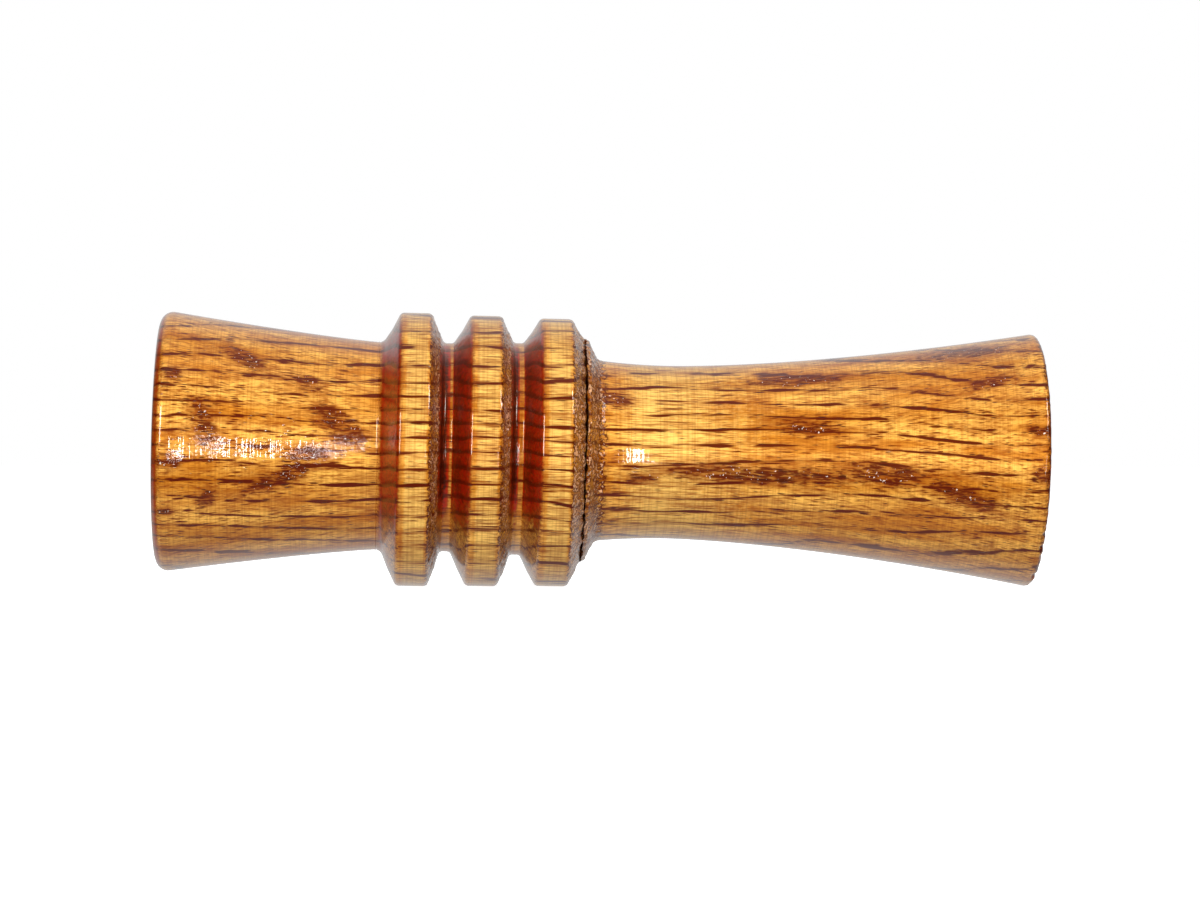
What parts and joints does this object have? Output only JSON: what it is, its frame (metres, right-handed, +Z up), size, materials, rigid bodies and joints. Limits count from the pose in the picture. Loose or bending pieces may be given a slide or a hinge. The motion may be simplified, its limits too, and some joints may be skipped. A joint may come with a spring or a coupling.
{
  "type": "bird call",
  "caption": "Turned wooden bird call: flared mouthpiece barrel with beads, and a stopper with a flared exhaust that holds a double reed.",
  "frame": {"origin": "on the surface that the call lies on, under the middle of its length; the turning axis is 19 mm above it", "axes": "+X along the turning axis, from the mouth end to the exhaust end; +Z up, square to the flat reeds; +Y away from the picture's viewpoint"},
  "size_m": [0.1218, 0.038, 0.038],
  "materials": {
    "barrel_wood": "red oak, oiled and gloss varnished",
    "stopper_wood": "red oak, oiled and gloss varnished",
    "tone_board_plastic": "machined, satin",
    "reed_film": "clear polyester film",
    "wedge_cork": "cut natural cork",
    "ring_rubber": "moulded, matt"
  },
  "bodies": {
    "barrel": {"barrel": "barrel_wood"},
    "seals": {"o_ring_front": "ring_rubber", "o_ring_rear": "ring_rubber"},
    "stopper": {"stopper": "stopper_wood", "tone_board": "tone_board_plastic"},
    "wedge": {"wedge": "wedge_cork"},
    "lower_reed": {"lower_reed": "reed_film"},
    "upper_reed": {"upper_reed": "reed_film"}
  },
  "joints": [
    {"name": "stopper_pull", "type": "slide", "parent": "barrel", "child": "seals", "axis": [1, 0, 0], "range_m": [0, 0.05]},
    {"name": "stopper_turn", "type": "hinge", "parent": "seals", "child": "stopper", "pos_m": [-0.0119, 0, 0.019], "axis": [1, 0, 0], "continuous": true},
    {"name": "wedge_pull", "type": "slide", "parent": "stopper", "child": "wedge", "axis": [-1, 0, 0], "range_m": [0, 0.018]},
    {"name": "lower_reed_flex", "type": "hinge", "parent": "wedge", "child": "lower_reed", "pos_m": [-0.0227, 0, 0.01962], "axis": [0, -1, 0], "range_deg": [-1, 2.2], "stiffness_Nm_per_rad": 0.018, "deforming": ["lower_reed"]},
    {"name": "upper_reed_flex", "type": "hinge", "parent": "wedge", "child": "upper_reed", "pos_m": [-0.0227, 0, 0.02], "axis": [0, -1, 0], "range_deg": [-1, 2.2], "stiffness_Nm_per_rad": 0.008, "deforming": ["upper_reed"]}
  ],
  "couplings": [
    {"joint": "upper_reed_flex", "follows": "lower_reed_flex", "ratio": 1}
  ]
}
